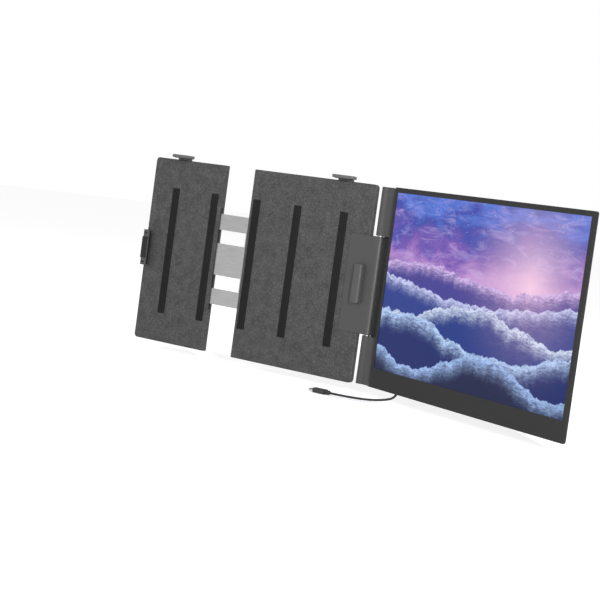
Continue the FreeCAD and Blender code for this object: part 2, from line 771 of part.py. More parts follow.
def monitor_rear_cover():
    """Back shell of the monitor: straight sides, then a long taper to the flat back."""
    body = new_body("monitor_rear_cover")
    hang_on_monitor(body)
    rim = lid_frame_rect("panel_start", MONITOR_END, MONITOR_FOOT, "monitor_top")
    inner = lid_frame_rect("panel_start", MONITOR_END + " - taper_inset",
                           MONITOR_FOOT + " + taper_inset", "monitor_top - taper_inset")
    side = outline(body, "cover_rim", "XZ_Plane", "-side_depth", rim)
    pad(body, "cover_sides", side, "side_depth - bezel_depth")
    base = outline(body, "taper_start", "XZ_Plane", "-side_depth", rim)
    flat = outline(body, "taper_end", "XZ_Plane", "-monitor_depth", inner)
    taper = body.newObject("PartDesign::AdditiveLoft", "cover_taper")
    taper.Profile = base
    taper.Sections = [flat]
    taper.Ruled = True
    doc.recompute()
    round_edges(body, "cover_corners", is_monitor_corner, "monitor_corner")
    slack = "(panel_border + slide_clearance)"
    block(body, "panel_bay",
          ("%s - %s" % (ACTIVE_LEFT, slack), "bezel_depth - 1", "%s - %s" % (ACTIVE_FOOT, slack)),
          ("%s + %s" % (ACTIVE_RIGHT, slack), LEAF_FRONT, "%s + %s" % (ACTIVE_TOP, slack)), cut=True)
    deep = "(taper_inset + monitor_wall)"
    block(body, "wiring_bay",
          ("panel_start + " + deep, "bezel_depth - 1", "%s + %s" % (MONITOR_FOOT, deep)),
          ("%s - %s" % (MONITOR_END, deep), "monitor_depth - monitor_wall",
           "monitor_top - " + deep), cut=True)
    for end in (-1, 1):
        low, high = leaf_span(end)
        block(body, "leaf_slot_%s" % ("top" if end > 0 else "foot"),
              ("panel_start - 1", LEAF_FRONT, low + " - seat_slack"),
              ("panel_start + %s + 1" % deep, LEAF_FRONT + " + leaf_thickness + port_fit",
               high + " + seat_slack"),
              cut=True)
    return body


def leaf_span(end):
    """Low and high end of the upper or lower hinge leaf."""
    near = "(block_height / 2 + leaf_margin)"
    inset = "(taper_inset + monitor_wall + leaf_slack)"
    if end > 0:
        return near, "(monitor_top - %s)" % inset
    return "(%s + %s)" % (MONITOR_FOOT, inset), "(-%s)" % near


def spine_cover():
    """Curved cover behind the middle knuckle, between the two outer knuckles."""
    body = new_body("spine_cover")
    hang_on_monitor(body)
    inner = "face_ahead + barrel_radius + spine_gap"
    sketch = outline(body, "spine_profile", "XY_Plane", "-block_height / 2",
                     [("panel_start", "bezel_depth"), ("panel_start", "monitor_depth"),
                      ("panel_start - spine_bend", inner + " + spine_thickness"),
                      ("spine_start", inner + " + spine_thickness"), ("spine_start", inner),
                      ("panel_start / 2", inner + " - spine_gap / 2"),
                      ("panel_start - spine_start", "bezel_depth")])
    pad(body, "spine_pad", sketch, "block_height")
    return body


def monitor_knuckle(end):
    """Outer knuckle: a round nose on the hinge axis that flares into the screen's edge."""
    name = "top_knuckle" if end > 0 else "bottom_knuckle"
    body = new_body(name)
    hang_on_monitor(body)
    if end > 0:
        start = KNUCKLE_START
        length = "monitor_top - knuckle_inset - " + KNUCKLE_START
        bore_start = start
    else:
        start = MONITOR_FOOT
        length = "-%s - %s" % (KNUCKLE_START, MONITOR_FOOT)
        bore_start = "-%s - shaft_reach" % KNUCKLE_START
    sketch = outline(body, name + "_profile", "XY_Plane", start,
                     [("0", "face_ahead - barrel_radius"), ("panel_start", "0"),
                      ("panel_start", "monitor_depth"),
                      ("0", "face_ahead + barrel_radius", "-barrel_radius")])
    pad(body, name + "_pad", sketch, length)
    rod(body, name + "_bore", "z", "shaft_radius + shaft_clearance", "shaft_reach",
        ("0", "face_ahead", bore_start), cut=True)
    low, high = leaf_span(end)
    block(body, name + "_leaf_slot", ("leaf_start - port_fit", LEAF_FRONT, low + " - seat_slack"),
          ("panel_start + 1", LEAF_FRONT + " + leaf_thickness + port_fit", high + " + seat_slack"),
          cut=True)
    return body


def hinge_leaves():
    """Steel leaves that carry the monitor on its knuckles."""
    body = new_body("hinge_leaves")
    hang_on_monitor(body)
    for end in (-1, 1):
        low, high = leaf_span(end)
        block(body, "leaf_%s" % ("top" if end > 0 else "foot"), ("leaf_start", LEAF_FRONT, low),
              ("panel_start + leaf_reach", LEAF_FRONT + " + leaf_thickness", high))
    return body


PORTS = [("0", "port_half_width"), ("port_pitch", "port_half_width"),
         ("2 * port_pitch + wide_port_shift", "port_half_width + wide_port_extra")]


def electronics_cover():
    """Raised housing on the monitor's back, open below for the ports and buttons."""
    body = new_body("electronics_cover")
    hang_on_monitor(body)
    left = "bump_left"
    right = "(bump_left + bump_width)"
    top = "(bump_bottom + bump_height)"
    sketch = outline(body, "bump_outline", "XZ_Plane", "-" + BUMP_BACK,
                     lid_frame_rect(left, right, "bump_bottom", top))
    pad(body, "bump_pad", sketch, "bump_depth")
    round_edges(body, "bump_corners", lambda edge: straight(edge, ALONG_Y), "bump_round")
    back = size("monitor_depth") + size("bump_depth")
    bevel_edges(body, "bump_rim", lambda edge: edge.BoundBox.YLength < 0.01
                and abs(edge.BoundBox.Center.y - back) < 0.01, "bump_round / 4")
    block(body, "bump_hollow",
          (left + " + bump_wall", "monitor_depth - 1", "bump_bottom + bump_wall"),
          (right + " - bump_wall", BUMP_BACK + " - bump_wall", top + " - bump_wall"), cut=True)
    for index, (shift, half) in enumerate(PORTS):
        centre = "(port_first + %s)" % shift
        margin = "%s + port_wall + port_fit" % half
        depth = "port_half_depth + port_wall + port_fit"
        block(body, "port_window_%d" % index,
              ("%s - (%s)" % (centre, margin), "%s - (%s)" % (PORT_Y, depth), "bump_bottom - 1"),
              ("%s + %s" % (centre, margin), "%s + %s" % (PORT_Y, depth), "bump_bottom + bump_wall + 1"),
              cut=True)
    for index in range(3):
        rod(body, "button_hole_%d" % index, "z", "button_radius + shaft_clearance", "bump_wall + 2",
            ("button_first + %d * button_pitch" % index, PORT_Y, "bump_bottom - 1"), cut=True)
    return body


def main_board():
    body = new_body("main_board")
    hang_on_monitor(body)
    block(body, "board_sheet",
          ("bump_left + board_inset", BOARD_Y, "bump_bottom + bump_wall + slide_clearance"),
          ("bump_left + bump_width - speaker_room", BOARD_Y + " + board_thickness",
           "bump_bottom + bump_height - 2 * board_inset"))
    block(body, "button_notch",
          ("button_first - button_pitch / 2", BOARD_Y, "bump_bottom"),
          ("button_first + 2.5 * button_pitch", BOARD_Y + " + board_thickness", SWITCH_Z), cut=True)
    block(body, "board_foot",
          ("bump_left + bump_width / 9", "monitor_depth", "bump_bottom + bump_height / 3"),
          ("bump_left + bump_width * 0.75", BOARD_Y, "bump_bottom + bump_height * 0.6"))
    for index, (column, row, wide) in enumerate(((70, 45, 14), (100, 55, 10), (128, 40, 12))):
        block(body, "chip_%d" % index,
              ("bump_left + %d" % column, BOARD_Y + " + board_thickness", "bump_bottom + %d" % row),
              ("bump_left + %d" % (column + wide), BOARD_Y + " + board_thickness + chip_thickness",
               "bump_bottom + %d" % (row + wide)))
    for index in range(3):
        centre = "(button_first + %d * button_pitch)" % index
        block(body, "button_switch_%d" % index,
              (centre + " - switch_half_width", BOARD_Y, SWITCH_Z),
              (centre + " + switch_half_width", PORT_Y + " + button_radius", SWITCH_Z + " + switch_length"))
    return body


SWITCH_Z = "(bump_bottom - button_proud + button_length + button_travel + port_fit)"


def port_shells():
    """Metal shells of the three sockets, open at the mouth."""
    body = new_body("port_shells")
    hang_on_monitor(body)
    for index, (shift, half) in enumerate(PORTS):
        centre = "(port_first + %s)" % shift
        for word, extra, end, cut in (("shell", "port_wall", "port_length", False),
                                      ("mouth", "0", "port_length - 2 * port_wall", True)):
            start = "bump_bottom" if not cut else "bump_bottom - 1"
            block(body, "%s_%d" % (word, index),
                  ("%s - (%s + %s)" % (centre, half, extra),
                   "%s - port_half_depth - %s" % (PORT_Y, extra), start),
                  ("%s + %s + %s" % (centre, half, extra),
                   "%s + port_half_depth + %s" % (PORT_Y, extra), "bump_bottom + " + end), cut=cut)
    return body


def push_button(index, label):
    body = new_body(label)
    hang_on_monitor(body)
    centre = "button_first + %d * button_pitch" % index
    rod(body, label + "_cap", "z", "button_radius", "button_length",
        (centre, PORT_Y, "bump_bottom - button_proud"))
    foot = "bump_bottom + bump_wall + port_fit"
    reach = "(button_radius + button_flange)"
    block(body, label + "_flange", ("%s - %s" % (centre, reach), "%s - %s" % (PORT_Y, reach), foot),
          ("%s + %s" % (centre, reach), "%s + %s" % (PORT_Y, reach), foot + " + flange_thickness"))
    return body


def speakers():
    body = new_body("speakers")
    hang_on_monitor(body)
    right = "bump_left + bump_width - speaker_inset"
    for index, place in enumerate((0.35, 0.6)):
        foot = "bump_bottom + bump_height * %s" % place
        block(body, "speaker_%d" % index, (right + " - speaker_width", "monitor_depth", foot),
              (right, BUMP_BACK + " - bump_wall - seat_slack", foot + " + speaker_length"))
    return body


def monitor_plug():
    """Overmoulded plug and strain relief at the monitor's end of the lead."""
    body = new_body("monitor_plug")
    hang_on_monitor(body)
    low = "bump_bottom - plug_gap - plug_length"
    block(body, "monitor_plug_grip",
          ("port_first - plug_half_width", PORT_Y + " - plug_half_depth", low),
          ("port_first + plug_half_width", PORT_Y + " + plug_half_depth", "bump_bottom - plug_gap"))
    round_edges(body, "monitor_plug_edges", lambda edge: straight(edge, ALONG_Z), "plug_half_depth * 0.8")
    rod(body, "monitor_plug_relief", "z", "relief_radius", "relief_length",
        ("port_first", PORT_Y, low + " - relief_length"))
    return body


def monitor_plug_tip():
    body = new_body("monitor_plug_tip")
    hang_on_monitor(body)
    block(body, "monitor_tip_shell",
          ("port_first - port_half_width + shaft_clearance",
           PORT_Y + " - port_half_depth + shaft_clearance", "bump_bottom - plug_gap"),
          ("port_first + port_half_width - shaft_clearance",
           PORT_Y + " + port_half_depth - shaft_clearance",
           "bump_bottom + port_length - 4 * port_wall"))
    return body


def laptop_plug():
    """The lead's free end, where the laptop's side port would be."""
    body = new_body("laptop_plug")
    x, y, z = LAPTOP_PLUG
    block(body, "laptop_plug_grip",
          ("%s - relief_length - plug_length" % x, "%s - plug_half_width" % y, "%s - plug_half_depth" % z),
          ("%s - relief_length" % x, "%s + plug_half_width" % y, "%s + plug_half_depth" % z))
    round_edges(body, "laptop_plug_edges", lambda edge: straight(edge, ALONG_X), "plug_half_depth * 0.8")
    rod(body, "laptop_plug_relief", "x", "relief_radius", "relief_length",
        ("%s - relief_length" % x, y, z))
    return body


def laptop_plug_tip():
    body = new_body("laptop_plug_tip")
    x, y, z = LAPTOP_PLUG
    back = "%s - relief_length - plug_length" % x
    block(body, "laptop_tip_shell",
          (back + " - port_length + plug_gap", "%s - port_half_width + shaft_clearance" % y,
           "%s - port_half_depth + shaft_clearance" % z),
          (back, "%s + port_half_width - shaft_clearance" % y,
           "%s + port_half_depth - shaft_clearance" % z))
    return body


# The lead's route: where it leaves the monitor's plug, then its corners from there
LEAD_START = (
    "(hinge_x + port_first * cos(swing_angle) + (%s - face_ahead) * sin(swing_angle))" % PORT_Y,
    "(hinge_y - port_first * sin(swing_angle) + (%s - face_ahead) * cos(swing_angle))" % PORT_Y,
    "(bump_bottom - plug_gap - plug_length - relief_length)",
)
LEAD_CORNERS = [
    ("0", "0", "0"),
    ("0", "0", "-lead_drop"),
    ("-lead_across / 6", "-lead_forward * 0.4", "-lead_drop - lead_sag"),
    ("-lead_across / 2", "-lead_forward", "-lead_fall"),
    ("-lead_across", "-lead_forward", "-lead_fall"),
]
LAPTOP_PLUG = ["(%s + %s)" % pair for pair in zip(LEAD_START, LEAD_CORNERS[-1])]


def lead():
    """The short video and power lead as one tube: straight runs joined by tangent arcs."""
    points = []
    for corner in LEAD_CORNERS:
        place = [size("%s + %s" % pair) for pair in zip(LEAD_START, corner)]
        points.append(Vector(*place))
    edges = []
    start = points[0]
    for before, corner, after in zip(points, points[1:], points[2:]):
        into = corner.sub(before)
        away = after.sub(corner)
        turn = into.getAngle(away)
        trim = 0.45 * min(into.Length, away.Length)
        into.normalize()
        away.normalize()
        radius = trim / math.tan(turn / 2)
        print("lead bend radius %.1f mm, turn %.0f degrees" % (radius, math.degrees(turn)))
        first = corner.sub(into * trim)
        last = corner.add(away * trim)
        inward = away.sub(into).normalize()
        middle = corner.add(inward * (radius / math.cos(turn / 2) - radius))
        edges.append(Part.LineSegment(start, first).toShape())
        edges.append(Part.Arc(first, middle, last).toShape())
        start = last
    edges.append(Part.LineSegment(start, points[-1]).toShape())
    path = Part.Wire(edges)
    run = points[1].sub(points[0])
    section = Part.Wire(Part.makeCircle(size("lead_radius"), points[0], run))
    tube = path.makePipeShell([section], True, False)
    print("lead length %.1f mm, tube over section %.1f mm" % (
        path.Length, tube.Volume / (math.pi * size("lead_radius") ** 2)))
    feature = doc.addObject("Part::Feature", "lead")
    feature.Shape = tube
    feature.Placement = FreeCAD.Placement()
    NODES.append(feature)
    return feature


bracket_housing(1)
rear_cover(1)
bracket_housing(-1)
rear_cover(-1)
slide_tongue()
clamp_springs()
for side in (1, -1):
    bracket_screws(side)
    lid_pads(side)
    top_hook(side)
    hook_pad(side)
    side_clamp(side)
    clamp_liner(side)
hinge_block()
hinge_shafts()
friction_washers()
kickstand()
stand_pin()
front_bezel()
display_panel()
backlight()
monitor_rear_cover()
spine_cover()
monitor_knuckle(1)
monitor_knuckle(-1)
hinge_leaves()
electronics_cover()
main_board()
port_shells()
for index, label in enumerate(("power_button", "minus_button", "plus_button")):
    push_button(index, label)
speakers()
monitor_plug()
monitor_plug_tip()
laptop_plug()
laptop_plug_tip()
lead()

doc.recompute()
for thing in doc.Objects:
    if "Invalid" in thing.State or "Error" in thing.State:
        raise RuntimeError("%s did not build: %s" % (thing.Label, thing.State))
for node in NODES:
    shape = node.Shape
    if shape.isNull() or not shape.isValid() or not shape.Solids:
        raise RuntimeError("%s has no valid solid" % node.Label)
    shape.exportStep("parts/%s.step" % node.Label)
    print("%s: %d solids, %.2f cm3" % (node.Label, len(shape.Solids), shape.Volume / 1000))
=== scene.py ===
import math

import bmesh
import bpy
from mathutils import Matrix, Vector


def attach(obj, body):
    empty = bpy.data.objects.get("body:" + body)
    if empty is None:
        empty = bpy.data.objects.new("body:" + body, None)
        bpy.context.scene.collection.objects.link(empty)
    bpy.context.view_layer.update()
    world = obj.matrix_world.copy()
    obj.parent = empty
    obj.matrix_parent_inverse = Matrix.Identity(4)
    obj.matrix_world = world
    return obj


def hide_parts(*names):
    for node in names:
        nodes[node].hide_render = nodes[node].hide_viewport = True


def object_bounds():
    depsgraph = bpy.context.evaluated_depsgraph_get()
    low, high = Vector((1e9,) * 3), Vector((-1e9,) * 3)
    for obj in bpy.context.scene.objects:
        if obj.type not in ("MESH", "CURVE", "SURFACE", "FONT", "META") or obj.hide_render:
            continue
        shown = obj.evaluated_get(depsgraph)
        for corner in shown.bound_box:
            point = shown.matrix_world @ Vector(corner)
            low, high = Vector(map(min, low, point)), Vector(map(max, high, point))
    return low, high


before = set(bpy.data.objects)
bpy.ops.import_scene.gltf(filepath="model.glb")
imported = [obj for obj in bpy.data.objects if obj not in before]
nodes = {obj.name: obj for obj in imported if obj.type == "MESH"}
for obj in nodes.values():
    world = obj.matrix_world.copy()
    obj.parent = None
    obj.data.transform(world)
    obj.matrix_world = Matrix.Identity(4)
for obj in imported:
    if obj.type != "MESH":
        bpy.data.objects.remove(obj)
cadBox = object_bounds()
scene = bpy.context.scene
print("frame loaded with", len(nodes), "nodes")

# Sizes below are in millimetres, mm turns them into metres
mm = 0.001

# The monitor's own frame: x from the hinge axis along the screen, y from the bezel's face backwards
hinge = {"x": 197.45, "y": 5.0, "swing": 19.64, "faceAhead": 4.5}
monitor = {"left": 24.5, "right": 380.2, "foot": -121.9, "top": 123.5, "depth": 8.0}
monitorFrame = (Matrix.Translation((hinge["x"] * mm, hinge["y"] * mm, 0))
                @ Matrix.Rotation(math.radians(-hinge["swing"]), 4, "Z")
                @ Matrix.Translation((0, -hinge["faceAhead"] * mm, 0)))
axisSpot = (0, hinge["faceAhead"])  # the hinge axis in the monitor's frame

# Camera, solved from the straight edges of the lid and the screen
view = {
    "place": (1.3670994, -1.6863166, 0.1006960),
    "turn": (86.34173, -7.72333, 37.59913),
    "lens": 100.149,
    "sensor": 36,
    "farthest": 20,
}
camera = bpy.data.objects.new("camera", bpy.data.cameras.new("camera"))
scene.collection.objects.link(camera)
camera.location = view["place"]
camera.rotation_euler = [math.radians(angle) for angle in view["turn"]]
camera.data.lens = view["lens"]
camera.data.sensor_width = view["sensor"]
camera.data.clip_end = view["farthest"]
scene.camera = camera
print("camera placed")


# Node helpers
def newMaterial(name):
    material = bpy.data.materials.new(name)
    material.use_nodes = True
    tree = material.node_tree
    return material, tree, tree.nodes["Principled BSDF"]


def feed(tree, socket, value):
    if isinstance(value, bpy.types.NodeSocket):
        tree.links.new(value, socket)
    else:
        socket.default_value = value


def sums(tree, operation, *values, clamp=False):
    node = tree.nodes.new("ShaderNodeMath")
    node.operation = operation
    node.use_clamp = clamp
    for socket, value in zip(node.inputs, values):
        feed(tree, socket, value)
    return node.outputs[0]


def vectors(tree, operation, first, second):
    node = tree.nodes.new("ShaderNodeVectorMath")
    node.operation = operation
    feed(tree, node.inputs[0], first)
    feed(tree, node.inputs[1], second)
    return node.outputs[0]


def objectPlace(tree):
    return tree.nodes.new("ShaderNodeTexCoord").outputs["Object"]


def noise(tree, vector, scale, detail=3.0, roughness=0.5, distortion=0.0, output="Fac"):
    node = tree.nodes.new("ShaderNodeTexNoise")
    feed(tree, node.inputs["Vector"], vector)
    node.inputs["Scale"].default_value = scale
    node.inputs["Detail"].default_value = detail
    node.inputs["Roughness"].default_value = roughness
    node.inputs["Distortion"].default_value = distortion
    return node.outputs[output]


def cells(tree, vector, scale, feature="F1"):
    node = tree.nodes.new("ShaderNodeTexVoronoi")
    node.feature = feature
    feed(tree, node.inputs["Vector"], vector)
    node.inputs["Scale"].default_value = scale
    return node.outputs["Distance"]


def ramp(tree, factor, stops):
    node = tree.nodes.new("ShaderNodeValToRGB")
    elements = node.color_ramp.elements
    while len(elements) < len(stops):
        elements.new(0.5)
    for element, (position, colour) in zip(elements, stops):
        element.position = position
        element.color = (*colour, 1)
    feed(tree, node.inputs["Fac"], factor)
    return node.outputs["Color"]


def greys(shade, tones):
    # stops of one grey, tones are pairs of place on the ramp and share of the shade
    return [(position, (shade * share,) * 3) for position, share in tones]


def mixed(tree, factor, first, second):
    node = tree.nodes.new("ShaderNodeMix")
    node.data_type = "RGBA"
    feed(tree, node.inputs["Factor"], factor)
    for socket, value in zip((node.inputs[6], node.inputs[7]), (first, second)):
        if isinstance(value, tuple):
            value = (*value, 1)
        feed(tree, socket, value)
    return node.outputs[2]


# Height of a bump of strength 1, in metres, and the rays that round an edge
skin = {"depth": 0.0002, "edgeRays": 4}


def softNormal(tree, shader, height, strength, edge):
    # soft edges first, then the grain on top of them
    bevel = tree.nodes.new("ShaderNodeBevel")
    bevel.samples = skin["edgeRays"]
    bevel.inputs["Radius"].default_value = edge * mm
    relief = tree.nodes.new("ShaderNodeBump")
    relief.inputs["Strength"].default_value = strength
    relief.inputs["Distance"].default_value = skin["depth"]
    feed(tree, relief.inputs["Height"], height)
    tree.links.new(bevel.outputs["Normal"], relief.inputs["Normal"])
    tree.links.new(relief.outputs["Normal"], shader.inputs["Normal"])


# Moulded plastic and rubber: a fine grain and a broad, faint mottle
mould = {"grain": 1500.0, "grainRoughness": 0.6, "mottleScale": 30.0, "share": 0.5,
         "dark": 0.35, "light": 0.65}


def moulded(name, shade, tint=(1, 1, 1), roughness=0.5, relief=0.12, mottle=0.1, edge=0.35,
            gloss=0.25):
    material, tree, shader = newMaterial(name)
    place = objectPlace(tree)
    fine = noise(tree, place, mould["grain"], roughness=mould["grainRoughness"])
    broad = noise(tree, place, mould["mottleScale"])
    both = sums(tree, "MULTIPLY_ADD", fine, mould["share"],
                sums(tree, "MULTIPLY", broad, mould["share"]))
    low = tuple(shade * part * (1 - mottle) for part in tint)
    high = tuple(shade * part * (1 + mottle) for part in tint)
    stops = [(mould["dark"], low), (mould["light"], high)]
    feed(tree, shader.inputs["Base Color"], ramp(tree, both, stops))
    shader.inputs["Roughness"].default_value = roughness
    shader.inputs["Specular IOR Level"].default_value = gloss
    softNormal(tree, shader, fine, relief, edge)
    return material


# Pressed texture of the bracket's front shell
leather = {
    "warpScale": 90.0, "warp": 0.006,
    "creaseScale": 260.0, "creaseGain": 4.0, "creaseShare": 0.28,
    "fineScale": 1300.0, "fineShare": 0.25,
    "broadScale": 70.0, "broadDetail": 4.0, "broadRoughness": 0.65, "broadShare": 0.72,
    "tones": [(0.28, 0.6), (0.52, 1.0), (0.72, 1.4)],
    "roughness": 0.62, "gloss": 0.25, "relief": 0.45, "edge": 0.4,
}


def leathered(name, shade):
    material, tree, shader = newMaterial(name)
    place = objectPlace(tree)
    wander = noise(tree, place, leather["warpScale"], 2.0, output="Color")
    bent = vectors(tree, "ADD", place, vectors(tree, "MULTIPLY", wander, (leather["warp"],) * 3))
    crease = cells(tree, bent, leather["creaseScale"], "DISTANCE_TO_EDGE")
    crease = sums(tree, "MULTIPLY", crease, leather["creaseGain"], clamp=True)
    fine = noise(tree, place, leather["fineScale"])
    broad = noise(tree, place, leather["broadScale"], leather["broadDetail"],
                  leather["broadRoughness"])
    factor = sums(tree, "MULTIPLY_ADD", crease, leather["creaseShare"],
                  sums(tree, "MULTIPLY", broad, leather["broadShare"]))
    feed(tree, shader.inputs["Base Color"], ramp(tree, factor, greys(shade, leather["tones"])))
    shader.inputs["Roughness"].default_value = leather["roughness"]
    shader.inputs["Specular IOR Level"].default_value = leather["gloss"]
    height = sums(tree, "MULTIPLY_ADD", fine, leather["fineShare"], crease)
    softNormal(tree, shader, height, leather["relief"], leather["edge"])
    return material


# Brushed metal: lines that run where the pattern is squeezed
brush = {"scale": 2400.0, "detail": 2.0, "tones": [(0.3, 0.8), (0.7, 1.1)], "spread": 0.2,
         "relief": 0.05, "edge": 0.2}


def brushed(name, shade, along=(0.02, 1.0, 1.0), roughness=0.35):
    material, tree, shader = newMaterial(name)
    squeezed = vectors(tree, "MULTIPLY", objectPlace(tree), along)
    lines = noise(tree, squeezed, brush["scale"], brush["detail"])
    feed(tree, shader.inputs["Base Color"], ramp(tree, lines, greys(shade, brush["tones"])))
    feed(tree, shader.inputs["Roughness"],
         sums(tree, "MULTIPLY_ADD", lines, brush["spread"], roughness - brush["spread"] / 2))
    shader.inputs["Metallic"].default_value = 1.0
    softNormal(tree, shader, lines, brush["relief"], brush["edge"])
    return material


# Green board with lighter tracks
board = {"scale": 420.0, "stops": [(0.03, (0.10, 0.28, 0.10)), (0.10, (0.01, 0.07, 0.03))],
         "roughness": 0.4, "relief": 0.1, "edge": 0.1}


def boardFinish(name):
    material, tree, shader = newMaterial(name)
    tracks = cells(tree, objectPlace(tree), board["scale"], "DISTANCE_TO_EDGE")
    feed(tree, shader.inputs["Base Color"], ramp(tree, tracks, board["stops"]))
    shader.inputs["Roughness"].default_value = board["roughness"]
    softNormal(tree, shader, tracks, board["relief"], board["edge"])
    return material


# The warm greys of the hinge and the clamps
warm = {"tint": (1.0, 0.995, 0.98), "mottle": 0.05}
finishes = {
    "shell": leathered("shell", 0.05),
    "cover": moulded("cover", 0.045, roughness=0.55, relief=0.2),
    "monitorBack": moulded("monitorBack", 0.016, relief=0.15),
    "block": moulded("block", 0.041, roughness=0.44, edge=0.6, gloss=0.4, **warm),
    "knuckle": moulded("knuckle", 0.037, roughness=0.44, edge=0.3, gloss=0.4, **warm),
    # spine also dresses the filler in the hinge hollow, where its dark grey is painted shade
    "spine": moulded("spine", 0.02),
    "clamp": moulded("clamp", 0.059, tint=(1.0, 0.995, 0.975), roughness=0.45, mottle=0.05,
                     edge=0.6),
    "hook": moulded("hook", 0.085, roughness=0.4, mottle=0.06, edge=0.3, gloss=0.4),
    "bezel": moulded("bezel", 0.012, roughness=0.55, mottle=0.05, edge=0.3),
    "black": moulded("black", 0.008, roughness=0.4),
    "rubber": moulded("rubber", 0.012, roughness=0.8, relief=0.3, gloss=0.1),
    "jacket": moulded("jacket", 0.022, roughness=0.6, gloss=0.2),
    "plug": moulded("plug", 0.03, edge=0.4),
    "button": moulded("button", 0.025, roughness=0.4, edge=0.3),
    "diffuser": moulded("diffuser", 0.8, roughness=0.7, mottle=0.02),
    "steel": brushed("steel", 0.38),
    "springSteel": brushed("springSteel", 0.5, along=(1.0, 1.0, 0.05), roughness=0.28),
    "darkSteel": brushed("darkSteel", 0.12, along=(1.0, 1.0, 1.0), roughness=0.4),
    "contact": moulded("contact", 0.7, tint=(1.0, 0.78, 0.34), roughness=0.3, gloss=0.6),
    "board": boardFinish("board"),
}
finishOf = {
    "shell": ["right_housing", "left_housing"],
    "cover": ["right_rear_cover", "left_rear_cover", "electronics_cover", "kickstand"],
    "monitorBack": ["monitor_rear_cover"],
    "block": ["hinge_block"],
    "knuckle": ["top_knuckle", "bottom_knuckle"],
    "spine": ["spine_cover"],
    "clamp": ["right_side_clamp", "left_side_clamp"],
    "hook": ["right_top_hook", "left_top_hook"],
    "bezel": ["front_bezel"],
    "plug": ["monitor_plug", "laptop_plug"],
    "button": ["power_button", "minus_button", "plus_button"],
    "rubber": ["right_lid_pads", "left_lid_pads", "right_hook_pad", "left_hook_pad",
               "right_clamp_liner", "left_clamp_liner"],
    "steel": ["slide_tongue", "hinge_leaves", "port_shells", "monitor_plug_tip",
              "laptop_plug_tip"],
    "springSteel": ["clamp_springs", "hinge_shafts", "stand_pin"],
    "darkSteel": ["right_bracket_screws", "left_bracket_screws", "friction_washers"],
    "jacket": ["lead"],
    "black": ["speakers"],
    "diffuser": ["backlight"],
    "board": ["main_board"],
}


def dress(node, material):
    slots = nodes[node].data.materials
    if slots:
        slots[0] = material
    else:
        slots.append(material)


for finish, names in finishOf.items():
    for name in names:
        dress(name, finishes[finish])
print("finishes on")

# Screen picture: rows of swells under a violet sky, one light low on the right
picture = {
    "aspect": 1.6,
    "sky": [(0.18, (0.55, 0.30, 0.66)), (0.38, (0.20, 0.10, 0.47)), (0.55, (0.05, 0.07, 0.42)),
            (0.72, (0.10, 0.20, 0.72)), (0.92, (0.03, 0.02, 0.22))],
    "skyRise": 1.25, "skyStart": -0.95, "cloudShare": 0.9,
    "clouds": {"stretch": 2.4, "scale": 2.6, "detail": 7.0, "roughness": 0.62, "warp": 0.5},
    "wisps": {"stretch": 3.5, "scale": 5.0, "detail": 8.0, "roughness": 0.7, "warp": 0.9},
    "wispGain": 2.6, "wispColour": (0.62, 0.50, 0.92),
    "stars": {"scale": 46.0, "size": 0.075, "colour": (0.95, 0.92, 1.0)},
    "light": {"x": 1.22, "z": 0.60, "reach": 0.62, "falloff": 2.0, "colour": (1.0, 0.66, 0.86)},
    "ruffles": {"stretch": 0.25, "scale": 7.0, "detail": 6.0, "roughness": 0.6, "warp": 0.0},
    "ruffleHeight": 0.14, "crestSharpness": 160.0,
    "streaks": {"stretch": 3.0, "scale": 16.0, "detail": 8.0, "roughness": 0.72, "warp": 1.6},
    "foam": {"gain": 1.1, "base": 0.12, "contrast": 2.1, "power": 2.0}, "shine": 0.75,
    "swells": [
        {"base": 0.60, "swing": 0.035, "turns": 4.2, "shift": 0.3, "fade": 0.10,
         "crest": (0.72, 0.52, 0.90), "deep": (0.06, 0.05, 0.30)},
        {"base": 0.51, "swing": 0.050, "turns": 3.1, "shift": 2.1, "fade": 0.11,
         "crest": (0.62, 0.66, 0.98), "deep": (0.02, 0.045, 0.27)},
        {"base": 0.40, "swing": 0.060, "turns": 4.9, "shift": 4.0, "fade": 0.12,
         "crest": (0.70, 0.80, 1.00), "deep": (0.008, 0.035, 0.24)},
        {"base": 0.28, "swing": 0.070, "turns": 3.6, "shift": 0.9, "fade": 0.14,
         "crest": (0.50, 0.68, 1.00), "deep": (0.003, 0.016, 0.14)},
        {"base": 0.14, "swing": 0.060, "turns": 5.3, "shift": 3.0, "fade": 0.13,
         "crest": (0.38, 0.56, 0.95), "deep": (0.002, 0.008, 0.06)},
    ],
    "nextSwell": (3.7, 1.9, 0.0),
    "glass": (0.003, 0.003, 0.004), "glow": 0.92, "roughness": 0.3, "gloss": 0.15,
}


def stretched(tree, vector, part):
    squeezed = vectors(tree, "MULTIPLY", vector, (1.0, part["stretch"], 1.0))
    return noise(tree, squeezed, part["scale"], part["detail"], part["roughness"], part["warp"])


def screenPlace(tree):
    # across and up over the panel, at one scale
    split = tree.nodes.new("ShaderNodeSeparateXYZ")
    coords = tree.nodes.new("ShaderNodeTexCoord")
    tree.links.new(coords.outputs["Generated"], split.inputs[0])
    across = sums(tree, "MULTIPLY", split.outputs["X"], picture["aspect"])
    up = split.outputs["Z"]
    joined = tree.nodes.new("ShaderNodeCombineXYZ")
    tree.links.new(across, joined.inputs[0])
    tree.links.new(up, joined.inputs[1])
    return across, up, joined.outputs[0]


